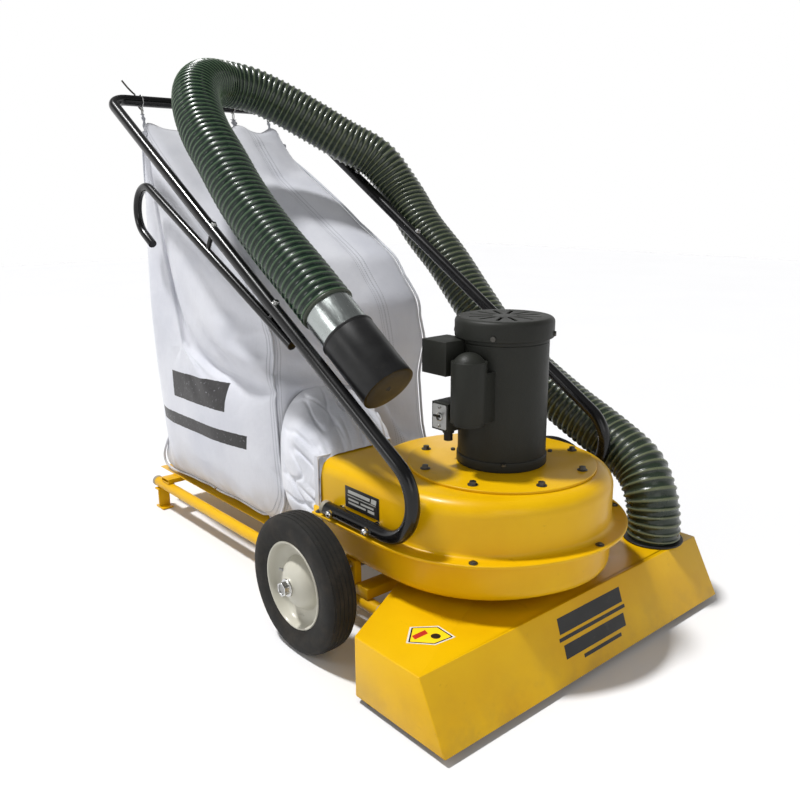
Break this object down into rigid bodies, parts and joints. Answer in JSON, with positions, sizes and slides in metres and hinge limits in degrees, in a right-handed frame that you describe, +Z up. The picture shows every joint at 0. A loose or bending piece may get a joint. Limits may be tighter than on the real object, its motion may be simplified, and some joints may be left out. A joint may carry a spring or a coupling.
{
  "type": "walk-behind litter vacuum",
  "caption": "Walk-behind electric litter vacuum: wide yellow floor nozzle, upright motor on a blower, tall filter bag, black push handle and a green hand hose.",
  "frame": {"origin": "on the floor under the middle of the machine's bounding box (hose left out)", "axes": "+Z up; -Y towards the floor nozzle (front); +X towards the machine's left-hand side, where the hose leaves the nozzle"},
  "size_m": [0.776, 1.2972, 1.0975],
  "materials": {
    "yellow_paint": "gloss",
    "motor_paint": "satin",
    "black_enamel": "gloss",
    "black_plastic": "matte",
    "grey_plastic": "satin",
    "zinc_tube": "satin",
    "bright_steel": "polished",
    "dark_steel": "satin",
    "bare_steel": "satin",
    "cast_alloy": "satin",
    "winding": "gloss",
    "blue_can": "gloss",
    "tyre_rubber": "matte",
    "cap_rubber": "satin",
    "rim_paint": "gloss",
    "bag_cloth": "matte",
    "hose_green": "gloss",
    "plate_print": "gloss"
  },
  "bodies": {
    "chassis": {"nozzle_head": "yellow_paint", "nozzle_inlet_ring": "yellow_paint", "hose_port_collar": "black_plastic", "roller_brackets": "dark_steel", "lower_pan": "yellow_paint", "upper_casing": "yellow_paint", "motor_plate": "yellow_paint", "casing_screws": "dark_steel", "nameplate": "plate_print", "drive_end_bell": "motor_paint", "motor_frame": "motor_paint", "fan_end_bell": "motor_paint", "motor_bearings": "bare_steel", "stator_core": "bare_steel", "stator_windings": "winding", "fan_cover": "motor_paint", "fan_cover_screws": "dark_steel", "capacitor_cover": "motor_paint", "capacitor": "blue_can", "conduit_box": "motor_paint", "conduit_lid": "motor_paint", "switch_body": "motor_paint", "cord_gland": "black_plastic", "axle": "bare_steel", "axle_brackets": "yellow_paint", "axle_nuts": "bright_steel", "rail_left": "yellow_paint", "rail_right": "yellow_paint", "tube_plugs": "grey_plastic", "cross_bars": "yellow_paint", "blower_posts": "yellow_paint", "bag_platform": "yellow_paint", "rear_feet": "yellow_paint", "handle_arm_left": "black_enamel", "handle_arm_right": "black_enamel", "handle_bracket": "yellow_paint", "handle_bolts": "bright_steel", "bail": "black_enamel", "hook_rod": "black_enamel", "hook_ties": "black_enamel", "filter_bag": "bag_cloth", "bag_neck_strap": "bag_cloth", "bag_hangers": "bag_cloth", "hose": "hose_green", "hand_tube": "zinc_tube"},
    "rotor": {"motor_shaft": "bare_steel", "rotor_core": "cast_alloy", "cooling_fan": "black_plastic", "impeller": "cast_alloy"},
    "wheel_left": {"tyre_left": "tyre_rubber", "rim_left": "rim_paint", "hub_left": "rim_paint"},
    "wheel_right": {"tyre_right": "tyre_rubber", "rim_right": "rim_paint", "hub_right": "rim_paint"},
    "front_roller_left": {"roller_left": "black_plastic"},
    "front_roller_right": {"roller_right": "black_plastic"},
    "toggle": {"switch_toggle": "black_plastic"},
    "end_cap": {"hose_cap": "cap_rubber"}
  },
  "joints": [
    {"name": "rotor_spin", "type": "hinge", "parent": "chassis", "child": "rotor", "pos_m": [0, -0.4026, 0.4], "axis": [0, 0, 1], "continuous": true},
    {"name": "wheel_left_spin", "type": "hinge", "parent": "chassis", "child": "wheel_left", "pos_m": [0.342, -0.2506, 0.127], "axis": [1, 0, 0], "continuous": true},
    {"name": "wheel_right_spin", "type": "hinge", "parent": "chassis", "child": "wheel_right", "pos_m": [-0.342, -0.2506, 0.127], "axis": [1, 0, 0], "continuous": true},
    {"name": "roller_left_spin", "type": "hinge", "parent": "chassis", "child": "front_roller_left", "pos_m": [0.358, -0.4646, 0.012], "axis": [1, 0, 0], "continuous": true},
    {"name": "roller_right_spin", "type": "hinge", "parent": "chassis", "child": "front_roller_right", "pos_m": [-0.358, -0.4646, 0.012], "axis": [1, 0, 0], "continuous": true},
    {"name": "switch_flip", "type": "hinge", "parent": "chassis", "child": "toggle", "pos_m": [-0.116, -0.3606, 0.411], "axis": [0, 1, 0], "range_deg": [-40, 0]},
    {"name": "cap_pull", "type": "slide", "parent": "chassis", "child": "end_cap", "axis": [0.0822, -0.7707, -0.6319], "range_m": [0, 0.11]}
  ]
}
